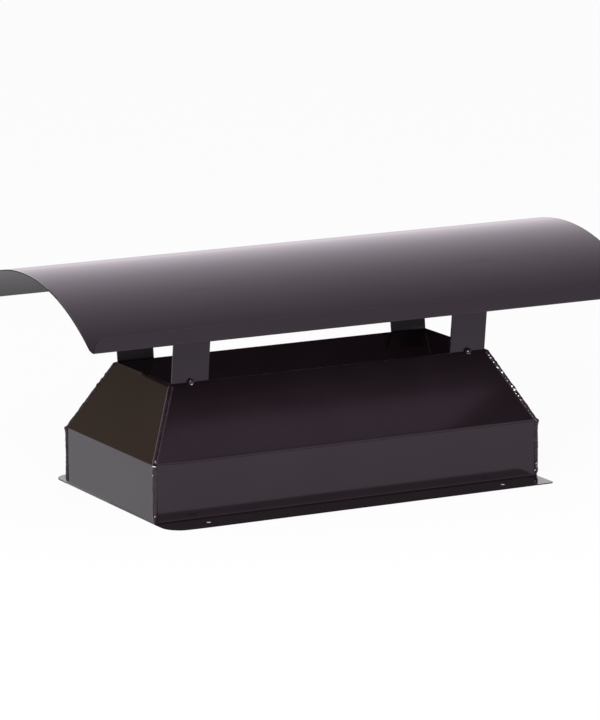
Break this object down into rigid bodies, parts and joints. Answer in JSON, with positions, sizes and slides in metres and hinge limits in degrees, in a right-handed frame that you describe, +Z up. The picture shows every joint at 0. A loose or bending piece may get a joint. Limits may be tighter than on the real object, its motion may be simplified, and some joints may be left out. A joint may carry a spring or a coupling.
{
  "type": "chimney cowl",
  "caption": "Black sheet-steel chimney cowl: a flanged base with sloping hips and an open top, under a barrel-arched roof on flat straps, its long edges turned up.",
  "frame": {"origin": "under the middle of the base, on the underside of the flanges", "axes": "+X along the length, the front at -Y, +Z up"},
  "size_m": [0.61, 0.31, 0.24],
  "materials": {
    "black_sheet": "semi-gloss black stove paint",
    "black_roof": "semi-gloss black stove paint, a little smoother",
    "black_strap": "semi-gloss black stove paint",
    "black_weld": "glossy black paint over a rough weld"
  },
  "bodies": {
    "root": {"front_panel": "black_sheet", "back_panel": "black_sheet", "left_end_panel": "black_sheet", "right_end_panel": "black_sheet", "weld_front_left": "black_weld", "weld_front_right": "black_weld", "weld_back_left": "black_weld", "weld_back_right": "black_weld", "strap_front_left": "black_strap", "strap_front_right": "black_strap", "strap_back_left": "black_strap", "strap_back_right": "black_strap", "tack_front_left": "black_weld", "tack_front_right": "black_weld", "tack_back_left": "black_weld", "tack_back_right": "black_weld", "roof": "black_roof"}
  },
  "joints": []
}
